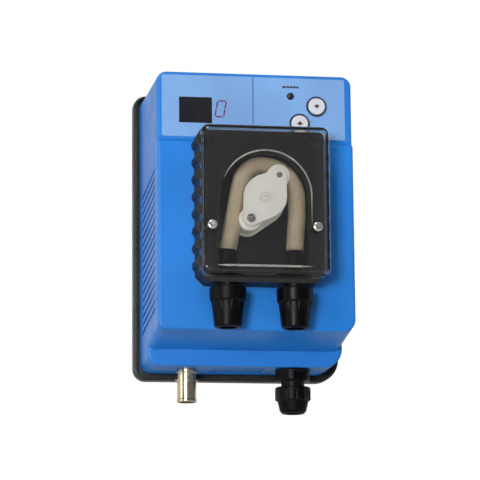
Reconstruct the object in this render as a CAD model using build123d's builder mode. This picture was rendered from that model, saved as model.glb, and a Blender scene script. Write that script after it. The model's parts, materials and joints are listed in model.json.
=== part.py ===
"""Wall-mounted peristaltic dosing pump, one STEP file for each separate piece.

Frame: X to the right, +Z up, the wall is the plane Y = 0 and the pump faces -Y.
Sizes are millimetres.  A "depth" is a distance in front of the wall.
"""

from build123d import *
import math
import os

os.makedirs("parts", exist_ok=True)
CUT = Mode.SUBTRACT

# ---------------------------------------------------------------- driving dimensions
# back plate: a shallow tray that the case sits in
PLATE_HALF_W, PLATE_HALF_H = 74.0, 103.5
PLATE_FLOOR, PLATE_RIM, RIM_WALL, RIM_WALL_TOP = 4.0, 9.0, 2.6, 1.5
PLATE_CORNER, PLATE_WIDE_CORNER = 9.0, 17.0
WALL_HOLE_X, WALL_HOLE_Z, WALL_HOLE_R = 45.0, 82.0, 2.6

# case
CASE_HALF_W, CASE_TOP, CASE_BOTTOM = 69.3, 101.5, -98.5
CASE_CORNER, CASE_WIDE_CORNER = 8.0, 14.0
CASE_WALL, CASE_DRAFT = 3.0, 0.6
GASKET = 1.5
CASE_BACK = PLATE_FLOOR + GASKET
CASE_FRONT, DISPLAY_DEPTH, LEDGE_DEPTH = 98.0, 94.0, 48.0
STEP_LOW, STEP_HIGH = 50.0, 53.0          # the front face steps back between these heights
UNDERCUT_FRONT, UNDERCUT_BACK = -80.0, -86.8
EDGE_R, RIM_R = 2.2, 1.8
UNDER_CORNER, UNDER_WIDE_CORNER = 5.0, 9.0
LOUVRE_COUNT, LOUVRE_PITCH, LOUVRE_W, LOUVRE_LONG = 18, 5.7, 2.6, 68.0
LOUVRE_DEPTH, LOUVRE_TILT, LOUVRE_MIDDLE = 1.3, 7.0, -20.0
BOSS_R, BOSS_FRONT, BOSS_PILOT_R = 5.5, 40.0, 1.7
BOSS_PLACES = [(-62.0, 91.0), (62.0, 91.0), (-61.0, -88.0), (56.0, -86.0)]
BLANK_LEFT, BLANK_RIGHT, BLANK_NEAR, BLANK_FAR, BLANK_CUT = -22.0, 15.0, 15.0, 43.0, 1.2

# display panel
LABEL_LEFT, LABEL_RIGHT, LABEL_LOW, LABEL_TOP, LABEL_T = -65.0, 63.5, 54.6, 98.1, 0.6
DIVIDER_X, DIVIDER_W = -1.2, 0.8
WINDOW_CENTRE, WINDOW_W, WINDOW_H = (-41.5, 73.5), 22.8, 18.0
WINDOW_FRONT, WINDOW_T = 95.1, 2.6
DIGIT_CENTRE, DIGIT_W, DIGIT_H, SEGMENT_W, SEGMENT_T = (-24.0, 74.7), 6.0, 11.2, 0.85, 0.25
DIGIT_SLANT = 10.0
LED_CENTRE, LED_R, LED_FRONT = (25.2, 85.2), 2.5, 95.6
BUTTON_UP, BUTTON_DOWN = (43.5, 78.3), (31.4, 65.7)
BUTTON_R, BUTTON_FRONT, RING_R, RING_T = 5.9, 96.2, 7.1, 1.3
BUTTON_TRAVEL, BUTTON_GAP = 0.6, 0.25

# boards
BOARD_T, CONTROL_BOARD_DEPTH, POWER_BOARD_DEPTH = 1.6, 80.0, 18.0
CONTROL_BOARD = (-55.0, 52.0, 60.0, 95.0)     # left, right, low, top
POWER_BOARD = (-56.0, 56.0, 12.0, 74.0)
PILLAR_R = 3.0

# rotor and its place on the front face
ROTOR_X, ROTOR_Z = 1.5, 7.5
ROTOR_ANGLE = 57.0
ROLLER_ORBIT, ROLLER_R, PIN_R, PIN_FIT = 18.2, 8.0, 2.0, 0.05
DISC_R, LOBE_R = 15.0, 4.8
REAR_DISC_R, REAR_LOBE_R = 16.2, 9.4
TRACK_R = 30.2
REAR_PLATE_DEPTH, REAR_PLATE_T = 104.0, 2.5
FRONT_PLATE_DEPTH, FRONT_PLATE_T = 120.8, 2.7
HUB_R, ROLLER_END_GAP = 8.0, 0.3

# pump head
HEAD_HALF_W, HEAD_LOW, HEAD_TOP = 43.2, -50.5, 55.4
HEAD_BACK, HEAD_FLOOR, HEAD_FRONT = 98.0, 103.2, 119.0
RIB_COUNT, RIB_PITCH, RIB_R, RIB_LOW = 8, 12.0, 4.6, -37.0
RIB_OUT = 2.0
POCKET_LEFT, POCKET_RIGHT, POCKET_LOW = -30.6, 31.7, -42.0
LIP_W, LIP_H = 1.5, 2.0
COVER_LEFT, COVER_RIGHT, COVER_LOW, COVER_TOP = -42.8, 45.4, -47.2, 55.9
COVER_FRONT, COVER_WALL, COVER_EDGE_R = 131.0, 2.5, 3.6
COVER_SCREW_X, COVER_SCREW_Z, COVER_SCREW_HEAD_R = 36.0, -14.0, 3.3
COVER_BOSS_R, COVER_SCREW_R = 4.0, 1.7

# pump tube and hose fittings
TUBE_DEPTH, TUBE_R, TUBE_BORE_R = 113.4, 6.0, 4.0
TUBE_END_Z, TUBE_BORE_LONG, LEFT_LEG_LEAN_X = -28.0, 11.0, -11.4
PORT_X, NUT_TOP, NUT_LOW = 23.0, -53.6, -81.0
NUT_TOP_R, NUT_LOW_R, NUT_COLLAR = 12.5, 9.3, 9.0
HOSE_BORE_R, HOSE_BORE_LONG = 6.2, 13.5
STUB_R, STUB_LOW = 7.5, -66.0

# gear motor
GEAR_MODULE, WHEEL_TEETH, PINION_TEETH = 0.8, 48, 12
PRESSURE_ANGLE, ADDENDUM, DEDENDUM, BACKLASH = 25.0, 0.82, 1.2, 0.22
CENTRE_DISTANCE = GEAR_MODULE * (WHEEL_TEETH + PINION_TEETH) / 2
GEARBOX_BACK, GEARBOX_SPLIT, GEARBOX_FRONT, GEARBOX_WALL = 70.0, 92.0, 95.0, 2.6
GEARBOX_HALF_W, GEARBOX_TOP, GEARBOX_LOW = 24.0, 32.0, -62.0
OUTPUT_GEAR_DEPTH, OUTPUT_GEAR_T = 84.0, 6.0
IDLER_WHEEL_DEPTH, IDLER_WHEEL_T, IDLER_END = 75.6, 4.4, 91.0
SHAFT_R, JOURNAL_R, AXLE_R, MOTOR_SHAFT_R, RUNNING_FIT = 4.0, 3.0, 2.0, 1.5, 0.05
MOTOR_R, MOTOR_BACK = 18.0, 26.0

# connectors under the case
BNC_X, BNC_DEPTH, BNC_R = -39.2, 30.0, 6.7
GLAND_X, GLAND_DEPTH, GLAND_R = 35.5, 35.0, 12.5
CABLE_R = 4.0
BNC_THREAD_R, GLAND_THREAD_R = 4.8, 8.0

SMALL_GAP = 0.1            # radial gap between a plain shank and its hole
CUT_BACK, CUT_LONG = 85.0, 12.0      # cuts through the display wall start and run this far
WALL_CUT = 6.0             # length of a cut through the case's bottom wall
SCREW_LONG, PILOT_LONG = 14.0, 16.0


# ---------------------------------------------------------------- helpers
def at_depth(depth):
    """Plane parallel to the wall; its local axes are X and Z."""
    return Plane.XZ.offset(depth)


def at_height(height):
    """Level plane; its local axes are X and Y, so a depth is a negative local Y."""
    return Plane.XY.offset(height)


def finish(builder, name):
    """Labels a finished piece and writes it under its own name."""
    builder.part.label = name
    export_step(builder.part, f"parts/{name}.step")


def panel(plane, left, right, low, top, radius=0.0):
    """Rounded rectangle given by its four sides."""
    with BuildSketch(plane) as outline:
        with Locations(((left + right) / 2, (low + top) / 2)):
            if radius > 0:
                RectangleRounded(right - left, top - low, radius)
            else:
                Rectangle(right - left, top - low)
    return outline.sketch


def discs(plane, places, radius):
    """Circles of one radius at several places."""
    with BuildSketch(plane) as outline:
        with Locations(*places):
            Circle(radius)
    return outline.sketch


def ring(plane, place, outer, inner):
    """Flat ring."""
    with BuildSketch(plane) as outline:
        with Locations(place):
            Circle(outer)
            Circle(inner, mode=CUT)
    return outline.sketch


def turned(x, depth, profile):
    """Solid turned about a vertical axis; the profile is a list of (radius, height)."""
    with BuildPart() as piece:
        with BuildSketch(at_depth(depth)):
            with BuildLine():
                Polyline(*[(x + radius, height) for radius, height in profile], close=True)
            make_face()
        revolve(axis=Axis((x, -depth, 0), (0, 0, 1)))
    return piece.part


def case_outline(plane, half_width, low, top, corner, wide_corner):
    """Front view of the case: three tight corners and a wide one at the lower right."""
    with BuildSketch(plane) as outline:
        with Locations((0, (low + top) / 2)):
            Rectangle(2 * half_width, top - low)
        corners = outline.vertices().sort_by(lambda point: point.X - point.Y)
        fillet(corners[:-1], radius=corner)
        lower_right = outline.vertices().sort_by(lambda point: point.X - point.Y)[-1]
        fillet(lower_right, radius=wide_corner)
    return outline.sketch


# ---------------------------------------------------------------- back plate and gasket
with BuildPart() as back_plate:
    extrude(
        case_outline(at_depth(0), PLATE_HALF_W, -PLATE_HALF_H, PLATE_HALF_H, PLATE_CORNER, PLATE_WIDE_CORNER),
        amount=PLATE_RIM,
    )
    front_rim = back_plate.faces().sort_by(Axis.Y)[0].edges()
    fillet(front_rim, radius=1.2)
    extrude(
        case_outline(
            at_depth(PLATE_FLOOR),
            PLATE_HALF_W - RIM_WALL,
            -PLATE_HALF_H + RIM_WALL,
            PLATE_HALF_H - RIM_WALL_TOP,
            PLATE_CORNER - RIM_WALL,
            PLATE_WIDE_CORNER - RIM_WALL,
        ),
        amount=PLATE_RIM,
        mode=CUT,
    )
    wall_holes = [(x, z) for x in (-WALL_HOLE_X, WALL_HOLE_X) for z in (-WALL_HOLE_Z, WALL_HOLE_Z)]
    extrude(discs(at_depth(0), wall_holes, WALL_HOLE_R), amount=PLATE_FLOOR, mode=CUT)
    extrude(discs(at_depth(0), BOSS_PLACES, BOSS_PILOT_R + SMALL_GAP), amount=PLATE_FLOOR, mode=CUT)
    extrude(discs(at_depth(0), BOSS_PLACES, 2 * BOSS_PILOT_R), amount=PLATE_FLOOR / 2, mode=CUT)
finish(back_plate, "back_plate")

with BuildPart() as housing_gasket:
    extrude(
        case_outline(
            at_depth(PLATE_FLOOR), CASE_HALF_W, CASE_BOTTOM, CASE_TOP, CASE_CORNER, CASE_WIDE_CORNER
        ),
        amount=GASKET,
    )
    extrude(
        case_outline(
            at_depth(PLATE_FLOOR),
            CASE_HALF_W - CASE_WALL,
            CASE_BOTTOM + CASE_WALL,
            CASE_TOP - CASE_WALL,
            CASE_CORNER - CASE_WALL,
            CASE_WIDE_CORNER - CASE_WALL,
        ),
        amount=GASKET,
        mode=CUT,
    )
    extrude(discs(at_depth(PLATE_FLOOR), BOSS_PLACES, BOSS_R + SMALL_GAP), amount=GASKET, mode=CUT)
finish(housing_gasket, "housing_gasket")

with BuildPart() as housing_screws:
    extrude(discs(at_depth(0.2), BOSS_PLACES, 2 * BOSS_PILOT_R - SMALL_GAP), amount=PLATE_FLOOR / 2 - 0.2)
    extrude(discs(at_depth(PLATE_FLOOR / 2), BOSS_PLACES, BOSS_PILOT_R - SMALL_GAP), amount=SCREW_LONG)
finish(housing_screws, "housing_screws")


# ---------------------------------------------------------------- front housing
def case_form(inset, back):
    """The case as a solid block; an inset of the wall thickness gives the room inside."""
    front, display, ledge = CASE_FRONT - inset, DISPLAY_DEPTH - inset, LEDGE_DEPTH - inset
    half_width, low, top = CASE_HALF_W - inset, CASE_BOTTOM + inset, CASE_TOP - inset
    slope = (UNDERCUT_FRONT - UNDERCUT_BACK) / (CASE_FRONT - LEDGE_DEPTH)
    with BuildPart() as ledge_block:
        extrude(
            case_outline(at_depth(back), half_width, low, top, CASE_CORNER - inset, CASE_WIDE_CORNER - inset),
            amount=ledge - back,
            taper=CASE_DRAFT,
        )
        if inset == 0:
            fillet(ledge_block.faces().sort_by(Axis.Y)[0].edges(), radius=RIM_R)
    with BuildPart() as form:
        # main block, seen from the side: stepped front face and sloping underside
        with BuildSketch(at_depth(back)):
            with Locations((0, (low + top) / 2)):
                Rectangle(2 * half_width, top - low)
            fillet(vertices().group_by(Axis.Y)[-1], radius=CASE_CORNER - inset)
        extrude(amount=front - back, taper=CASE_DRAFT)
        with BuildSketch(Plane.YZ):
            with BuildLine():
                Polyline(
                    (-back, UNDERCUT_FRONT + inset - slope * (front - back)),
                    (-front, UNDERCUT_FRONT + inset),
                    (-front, STEP_LOW - inset),
                    (-display, STEP_HIGH - inset),
                    (-display, CASE_TOP + 1),
                    (-back, CASE_TOP + 1),
                    close=True,
                )
            make_face()
        extrude(amount=CASE_HALF_W, both=True, mode=Mode.INTERSECT)
        underside = form.faces().sort_by(Axis.Z)[0]
        low_edges = underside.edges().sort_by(Axis.X)
        fillet(low_edges[0], radius=UNDER_CORNER - inset)
        underside = form.faces().sort_by(Axis.Z)[0]
        fillet(underside.edges().sort_by(Axis.X)[-1], radius=UNDER_WIDE_CORNER - inset)
        add(ledge_block.part)
    return form.part


def is_front_rim(edge):
    """True for the outer edges of the stepped front face, but not for the step across it."""
    farthest_back = max(edge.position_at(where).Y for where in (0.0, 0.5, 1.0))
    middle = edge.center()
    crosses_face = abs(middle.X) < 1 and abs(middle.Z - STEP_LOW) < 8
    return farthest_back < -DISPLAY_DEPTH + 0.1 and not crosses_face


def louvres(side):
    """Row of shallow grooves along one flank, each a little lower towards the wall."""
    with BuildSketch(Plane.YZ.offset(side * (CASE_HALF_W + 1))) as rows:
        middle = -(CASE_BACK + CASE_FRONT) / 2
        with Locations((middle, LOUVRE_MIDDLE)):
            with GridLocations(0, LOUVRE_PITCH, 1, LOUVRE_COUNT):
                SlotOverall(LOUVRE_LONG, LOUVRE_W, rotation=-LOUVRE_TILT)
    return rows.sketch


with BuildPart() as front_housing:
    add(case_form(0, CASE_BACK))
    step_edges = [
        edge for edge in front_housing.edges().filter_by(Axis.X) if abs(edge.center().Z - STEP_LOW) < 4
    ]
    fillet(step_edges, radius=EDGE_R)
    fillet([edge for edge in front_housing.edges() if is_front_rim(edge)], radius=RIM_R)
    add(case_form(CASE_WALL, CASE_BACK - 0.5), mode=CUT)
    for side in (-1, 1):
        extrude(louvres(side), amount=-side * (1 + LOUVRE_DEPTH), mode=CUT)
    extrude(discs(at_depth(PLATE_FLOOR), BOSS_PLACES, BOSS_R), amount=BOSS_FRONT - PLATE_FLOOR)
    extrude(discs(at_depth(PLATE_FLOOR), BOSS_PLACES, BOSS_PILOT_R), amount=PILOT_LONG, mode=CUT)
    # openings of the front face
    extrude(
        discs(at_depth(CASE_FRONT - 10), [(ROTOR_X, ROTOR_Z)], HUB_R + 1), amount=CUT_LONG, mode=CUT
    )
    extrude(
        discs(at_depth(CUT_BACK), [BUTTON_UP, BUTTON_DOWN], BUTTON_R + BUTTON_GAP),
        amount=CUT_LONG,
        mode=CUT,
    )
    extrude(discs(at_depth(CUT_BACK), [LED_CENTRE], LED_R + SMALL_GAP), amount=CUT_LONG, mode=CUT)
    window_x, window_z = WINDOW_CENTRE
    extrude(
        panel(
            at_depth(CUT_BACK),
            window_x - WINDOW_W / 2 - SMALL_GAP,
            window_x + WINDOW_W / 2 + SMALL_GAP,
            window_z - WINDOW_H / 2 - SMALL_GAP,
            window_z + WINDOW_H / 2 + SMALL_GAP,
        ),
        amount=CUT_LONG,
        mode=CUT,
    )
    # openings and blanked recess of the bottom wall
    extrude(
        discs(at_height(CASE_BOTTOM - 1), [(BNC_X, -BNC_DEPTH)], BNC_THREAD_R + SMALL_GAP),
        amount=WALL_CUT,
        mode=CUT,
    )
    extrude(
        discs(at_height(CASE_BOTTOM - 1), [(GLAND_X, -GLAND_DEPTH)], GLAND_THREAD_R + SMALL_GAP),
        amount=WALL_CUT,
        mode=CUT,
    )
    extrude(
        panel(at_height(CASE_BOTTOM), BLANK_LEFT, BLANK_RIGHT, -BLANK_FAR, -BLANK_NEAR, 1.0),
        amount=BLANK_CUT,
        mode=CUT,
    )
finish(front_housing, "front_housing")

# ---------------------------------------------------------------- display panel
with BuildPart() as label_panel:
    extrude(
        panel(at_depth(DISPLAY_DEPTH), LABEL_LEFT, LABEL_RIGHT, LABEL_LOW, LABEL_TOP, 1.5),
        amount=LABEL_T,
    )
    extrude(
        panel(
            at_depth(DISPLAY_DEPTH),
            window_x - WINDOW_W / 2 - SMALL_GAP,
            window_x + WINDOW_W / 2 + SMALL_GAP,
            window_z - WINDOW_H / 2 - SMALL_GAP,
            window_z + WINDOW_H / 2 + SMALL_GAP,
        ),
        amount=LABEL_T,
        mode=CUT,
    )
    extrude(discs(at_depth(DISPLAY_DEPTH), [LED_CENTRE], LED_R + SMALL_GAP), amount=LABEL_T, mode=CUT)
    extrude(
        discs(at_depth(DISPLAY_DEPTH), [BUTTON_UP, BUTTON_DOWN], RING_R + SMALL_GAP),
        amount=LABEL_T,
        mode=CUT,
    )
    extrude(
        panel(
            at_depth(DISPLAY_DEPTH + LABEL_T / 2),
            DIVIDER_X - DIVIDER_W / 2,
            DIVIDER_X + DIVIDER_W / 2,
            LABEL_LOW,
            LABEL_TOP,
        ),
        amount=LABEL_T,
        mode=CUT,
    )
finish(label_panel, "label_panel")

with BuildPart() as display_window:
    extrude(
        panel(
            at_depth(WINDOW_FRONT - WINDOW_T),
            window_x - WINDOW_W / 2,
            window_x + WINDOW_W / 2,
            window_z - WINDOW_H / 2,
            window_z + WINDOW_H / 2,
        ),
        amount=WINDOW_T,
    )
    chamfer(display_window.faces().sort_by(Axis.Y)[0].edges(), length=0.3)
finish(display_window, "display_window")

DIGIT_X, DIGIT_Z = DIGIT_CENTRE
SIDE_LONG, BAR_LONG = DIGIT_H / 2 - SEGMENT_W, DIGIT_W - 1.6 * SEGMENT_W


def slanted(across, rise):
    """Place of one segment of the leaning digit."""
    return (DIGIT_X + across + rise * math.tan(math.radians(DIGIT_SLANT)), DIGIT_Z + rise)


with BuildPart() as display_digit:
    with BuildSketch(at_depth(DISPLAY_DEPTH + LABEL_T)):
        half, quarter = DIGIT_W / 2, DIGIT_H / 4
        with Locations(*[slanted(across, rise) for across in (-half, half) for rise in (-quarter, quarter)]):
            Rectangle(SEGMENT_W, SIDE_LONG, rotation=-DIGIT_SLANT)
        with Locations(slanted(0, DIGIT_H / 2), slanted(0, -DIGIT_H / 2)):
            Rectangle(BAR_LONG, SEGMENT_W)
    extrude(amount=SEGMENT_T)
finish(display_digit, "display_digit")

with BuildPart() as button_rings:
    for place in (BUTTON_UP, BUTTON_DOWN):
        extrude(ring(at_depth(DISPLAY_DEPTH), place, RING_R, BUTTON_R + BUTTON_GAP), amount=RING_T)
finish(button_rings, "button_rings")

CONTROL_FRONT = CONTROL_BOARD_DEPTH + BOARD_T
SWITCH_T, PLUNGER_T = 3.6, 0.3


def button(place, name):
    """Push button: cap, retaining flange behind the case wall and a stem to its switch."""
    flange_front = DISPLAY_DEPTH - CASE_WALL - 0.2
    with BuildPart() as piece:
        extrude(discs(at_depth(flange_front), [place], BUTTON_R), amount=BUTTON_FRONT - flange_front)
        fillet(piece.faces().sort_by(Axis.Y)[0].edges(), radius=0.7)
        extrude(discs(at_depth(flange_front - 1.2), [place], BUTTON_R + 1.1), amount=1.2)
        stem_back = CONTROL_FRONT + SWITCH_T + PLUNGER_T + BUTTON_TRAVEL + 0.1
        extrude(discs(at_depth(stem_back), [place], 1.6), amount=flange_front - 1.2 - stem_back)
    finish(piece, name)


button(BUTTON_UP, "button_up")
button(BUTTON_DOWN, "button_down")

with BuildPart() as tact_switches:
    for place_x, place_z in (BUTTON_UP, BUTTON_DOWN):
        switch_sides = (place_x - 3, place_x + 3, place_z - 3, place_z + 3)
        extrude(panel(at_depth(CONTROL_FRONT), *switch_sides), amount=SWITCH_T)
    extrude(discs(at_depth(CONTROL_FRONT + SWITCH_T), [BUTTON_UP, BUTTON_DOWN], 1.7), amount=PLUNGER_T)
finish(tact_switches, "tact_switches")

with BuildPart() as status_led:
    extrude(discs(at_depth(CONTROL_FRONT), [LED_CENTRE], LED_R), amount=LED_FRONT - CONTROL_FRONT)
    fillet(status_led.faces().sort_by(Axis.Y)[0].edges(), radius=LED_R * 0.8)
finish(status_led, "status_led")

# ---------------------------------------------------------------- boards inside the case
control_left, control_right, control_low, control_top = CONTROL_BOARD
with BuildPart() as control_board:
    extrude(panel(at_depth(CONTROL_BOARD_DEPTH), *CONTROL_BOARD), amount=BOARD_T)
finish(control_board, "control_board")

with BuildPart() as display_module:
    extrude(
        panel(at_depth(CONTROL_FRONT), window_x - 10, DIGIT_X + 4.5, window_z - 7, window_z + 7),
        amount=WINDOW_FRONT - WINDOW_T - 2.0 - CONTROL_FRONT,
    )
finish(display_module, "display_module")

with BuildPart() as control_board_pillars:
    columns, rows = (control_left + 3, control_right - 3), (control_low + 3, control_top - 3)
    corners = [(x, z) for x in columns for z in rows]
    extrude(discs(at_depth(CONTROL_FRONT), corners, 2.2), amount=DISPLAY_DEPTH - CASE_WALL - CONTROL_FRONT)
finish(control_board_pillars, "control_board_pillars")

power_left, power_right, power_low, power_top = POWER_BOARD
POWER_FRONT = POWER_BOARD_DEPTH + BOARD_T
with BuildPart() as power_board:
    extrude(panel(at_depth(POWER_BOARD_DEPTH), *POWER_BOARD), amount=BOARD_T)
finish(power_board, "power_board")

with BuildPart() as power_board_pillars:
    corners = [(x, z) for x in (power_left + 4, power_right - 4) for z in (power_low + 4, power_top - 4)]
    extrude(discs(at_depth(PLATE_FLOOR), corners, PILLAR_R), amount=POWER_BOARD_DEPTH - PLATE_FLOOR)
finish(power_board_pillars, "power_board_pillars")

CORE_X, CORE_Z, CORE_W, CORE_H, CORE_T = -26.0, 43.0, 42.0, 35.0, 17.0
LIMB_W, COIL_T = 8.0, 27.0
CORE_BACK = POWER_FRONT + (COIL_T - CORE_T) / 2
WINDOW_HALF_H = CORE_H / 2 - LIMB_W / 2 - 1.0
with BuildPart() as transformer_core:
    with BuildSketch(at_depth(CORE_BACK)):
        with Locations((CORE_X, CORE_Z)):
            Rectangle(CORE_W, CORE_H)
        with Locations((CORE_X - CORE_W / 4, CORE_Z), (CORE_X + CORE_W / 4, CORE_Z)):
            Rectangle(CORE_W / 2 - LIMB_W, 2 * WINDOW_HALF_H, mode=CUT)
    extrude(amount=CORE_T)
finish(transformer_core, "transformer_core")

with BuildPart() as transformer_coil:
    coil_half_w = CORE_W / 2 - LIMB_W / 2 - 0.4
    extrude(
        panel(
            at_depth(POWER_FRONT),
            CORE_X - coil_half_w,
            CORE_X + coil_half_w,
            CORE_Z - WINDOW_HALF_H + 0.2,
            CORE_Z + WINDOW_HALF_H - 0.2,
            2.0,
        ),
        amount=COIL_T,
    )
    # the core passes through the coil
    extrude(
        panel(
            at_depth(CORE_BACK - SMALL_GAP),
            CORE_X - LIMB_W / 2 - SMALL_GAP,
            CORE_X + LIMB_W / 2 + SMALL_GAP,
            CORE_Z - CORE_H,
            CORE_Z + CORE_H,
        ),
        amount=CORE_T + 2 * SMALL_GAP,
        mode=CUT,
    )
finish(transformer_coil, "transformer_coil")

TERMINAL_WAYS, TERMINAL_PITCH = 6, 5.0
with BuildPart() as terminal_block:
    terminal_left = 14.0
    extrude(
        panel(
            at_depth(POWER_FRONT), terminal_left, terminal_left + TERMINAL_WAYS * TERMINAL_PITCH, 16.0, 25.0
        ),
        amount=11.0,
    )
    ways = [(terminal_left + (way + 0.5) * TERMINAL_PITCH, 20.5) for way in range(TERMINAL_WAYS)]
    extrude(discs(at_depth(POWER_FRONT + 7.0), ways, 1.7), amount=4.0, mode=CUT)
finish(terminal_block, "terminal_block")

with BuildPart() as fuse:
    with BuildSketch(Plane.YZ.offset(14.0)):
        with Locations((-POWER_FRONT - 4.5, 64.0)):
            Circle(2.6)
    extrude(amount=20.0)
finish(fuse, "fuse")

with BuildPart() as fuse_clips:
    for clip_x in (16.0, 28.0):
        extrude(panel(at_depth(POWER_FRONT), clip_x, clip_x + 4.0, 60.0, 68.0), amount=7.6)
    with BuildSketch(Plane.YZ.offset(14.0)):
        with Locations((-POWER_FRONT - 4.5, 64.0)):
            Circle(2.6 + SMALL_GAP)
    extrude(amount=20.0, mode=CUT)
finish(fuse_clips, "fuse_clips")

# ---------------------------------------------------------------- gear motor
IDLER_Z = ROTOR_Z - CENTRE_DISTANCE
MOTOR_Z = IDLER_Z - CENTRE_DISTANCE
ROTOR_AXIS, IDLER_AXIS, MOTOR_AXIS = (ROTOR_X, ROTOR_Z), (ROTOR_X, IDLER_Z), (ROTOR_X, MOTOR_Z)


def involute(angle):
    """Involute function of a pressure angle in radians."""
    return math.tan(angle) - angle


def gear_sketch(plane, place, teeth, phase, bore):
    """Spur gear outline; phase is the angle in degrees of one tooth's middle."""
    pitch_r = GEAR_MODULE * teeth / 2
    base_r = pitch_r * math.cos(math.radians(PRESSURE_ANGLE))
    root_r = pitch_r - DEDENDUM * GEAR_MODULE
    tip_r = pitch_r + ADDENDUM * GEAR_MODULE
    half_pitch_angle = (math.pi / teeth) / 2 - BACKLASH / (4 * pitch_r)

    def half_angle(radius):
        turn = math.acos(min(1.0, base_r / radius))
        return half_pitch_angle + involute(math.radians(PRESSURE_ANGLE)) - involute(turn)

    flank = [root_r, max(base_r, root_r + 0.05), (pitch_r + max(base_r, root_r)) / 2, pitch_r]
    flank += [(pitch_r + tip_r) / 2, tip_r]
    points = []
    for tooth in range(teeth):
        middle = math.radians(phase) + tooth * 2 * math.pi / teeth
        rising = [(radius, middle - half_angle(radius)) for radius in flank]
        falling = [(radius, middle + half_angle(radius)) for radius in reversed(flank)]
        points += rising + falling
    outline_points = [
        (place[0] + radius * math.cos(angle), place[1] + radius * math.sin(angle)) for radius, angle in points
    ]
    with BuildSketch(plane) as outline:
        with BuildLine():
            Polyline(*outline_points, close=True)
        make_face()
        with Locations(place):
            Circle(bore, mode=CUT)
    return outline.sketch


PINION_PHASE = 90 - 180 / PINION_TEETH      # a gap faces straight up, a wheel's tooth straight down
WHEEL_PHASE = -90.0

with BuildPart() as gearbox_case:
    extrude(
        panel(
            at_depth(GEARBOX_BACK),
            ROTOR_X - GEARBOX_HALF_W,
            ROTOR_X + GEARBOX_HALF_W,
            GEARBOX_LOW,
            GEARBOX_TOP,
            5.0,
        ),
        amount=GEARBOX_SPLIT - GEARBOX_BACK,
    )
    extrude(
        panel(
            at_depth(GEARBOX_BACK + GEARBOX_WALL),
            ROTOR_X - GEARBOX_HALF_W + GEARBOX_WALL,
            ROTOR_X + GEARBOX_HALF_W - GEARBOX_WALL,
            GEARBOX_LOW + GEARBOX_WALL,
            GEARBOX_TOP - GEARBOX_WALL,
            3.0,
        ),
        amount=GEARBOX_SPLIT - GEARBOX_BACK,
        mode=CUT,
    )
    corner_posts = [
        (ROTOR_X + side * (GEARBOX_HALF_W - 4), z)
        for side in (-1, 1)
        for z in (GEARBOX_LOW + 4, GEARBOX_TOP - 4)
    ]
    extrude(discs(at_depth(GEARBOX_BACK), corner_posts, 3.2), amount=GEARBOX_SPLIT - GEARBOX_BACK)
    extrude(discs(at_depth(GEARBOX_BACK + 8), corner_posts, 1.3), amount=GEARBOX_SPLIT, mode=CUT)
    extrude(discs(at_depth(GEARBOX_BACK), [ROTOR_AXIS], 4.4 + SMALL_GAP), amount=6, mode=CUT)
    extrude(discs(at_depth(GEARBOX_BACK), [IDLER_AXIS], AXLE_R + SMALL_GAP / 2), amount=6, mode=CUT)
    extrude(discs(at_depth(GEARBOX_BACK), [MOTOR_AXIS], 3.5), amount=6, mode=CUT)
finish(gearbox_case, "gearbox_case")

BUSH_R = SHAFT_R + 2.0
with BuildPart() as gearbox_lid:
    extrude(
        panel(
            at_depth(GEARBOX_SPLIT),
            ROTOR_X - GEARBOX_HALF_W,
            ROTOR_X + GEARBOX_HALF_W,
            GEARBOX_LOW,
            GEARBOX_TOP,
            5.0,
        ),
        amount=GEARBOX_FRONT - GEARBOX_SPLIT,
    )
    extrude(discs(at_depth(GEARBOX_SPLIT), [ROTOR_AXIS], BUSH_R + SMALL_GAP), amount=5, mode=CUT)
    extrude(
        discs(at_depth(GEARBOX_SPLIT), [IDLER_AXIS], AXLE_R + SMALL_GAP / 2), amount=2, mode=CUT
    )
    extrude(discs(at_depth(GEARBOX_SPLIT), corner_posts, 1.5), amount=5, mode=CUT)
finish(gearbox_lid, "gearbox_lid")

with BuildPart() as gearbox_screws:
    extrude(discs(at_depth(GEARBOX_BACK + 9), corner_posts, 1.2), amount=GEARBOX_FRONT - GEARBOX_BACK - 9.2)
finish(gearbox_screws, "gearbox_screws")

with BuildPart() as output_bushes:
    rear_bush = ring(at_depth(GEARBOX_BACK), ROTOR_AXIS, 4.4, JOURNAL_R + RUNNING_FIT)
    extrude(rear_bush, amount=4.4)
    front_bush = ring(at_depth(GEARBOX_SPLIT - 1.4), ROTOR_AXIS, BUSH_R, SHAFT_R + RUNNING_FIT)
    extrude(front_bush, amount=GEARBOX_FRONT - GEARBOX_SPLIT + 1.4)
finish(output_bushes, "output_bushes")

SHAFT_FRONT = FRONT_PLATE_DEPTH
with BuildPart() as output_shaft:
    extrude(discs(at_depth(GEARBOX_BACK + 0.5), [ROTOR_AXIS], JOURNAL_R), amount=12)
    extrude(
        discs(at_depth(GEARBOX_BACK + 12.5), [ROTOR_AXIS], SHAFT_R),
        amount=SHAFT_FRONT - GEARBOX_BACK - 12.5,
    )
    extrude(discs(at_depth(SHAFT_FRONT - 9), [ROTOR_AXIS], 1.6), amount=9, mode=CUT)
finish(output_shaft, "output_shaft")

with BuildPart() as output_gear:
    extrude(
        gear_sketch(
            at_depth(OUTPUT_GEAR_DEPTH), ROTOR_AXIS, WHEEL_TEETH, WHEEL_PHASE, SHAFT_R + SMALL_GAP / 2
        ),
        amount=OUTPUT_GEAR_T,
    )
finish(output_gear, "output_gear")

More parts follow.
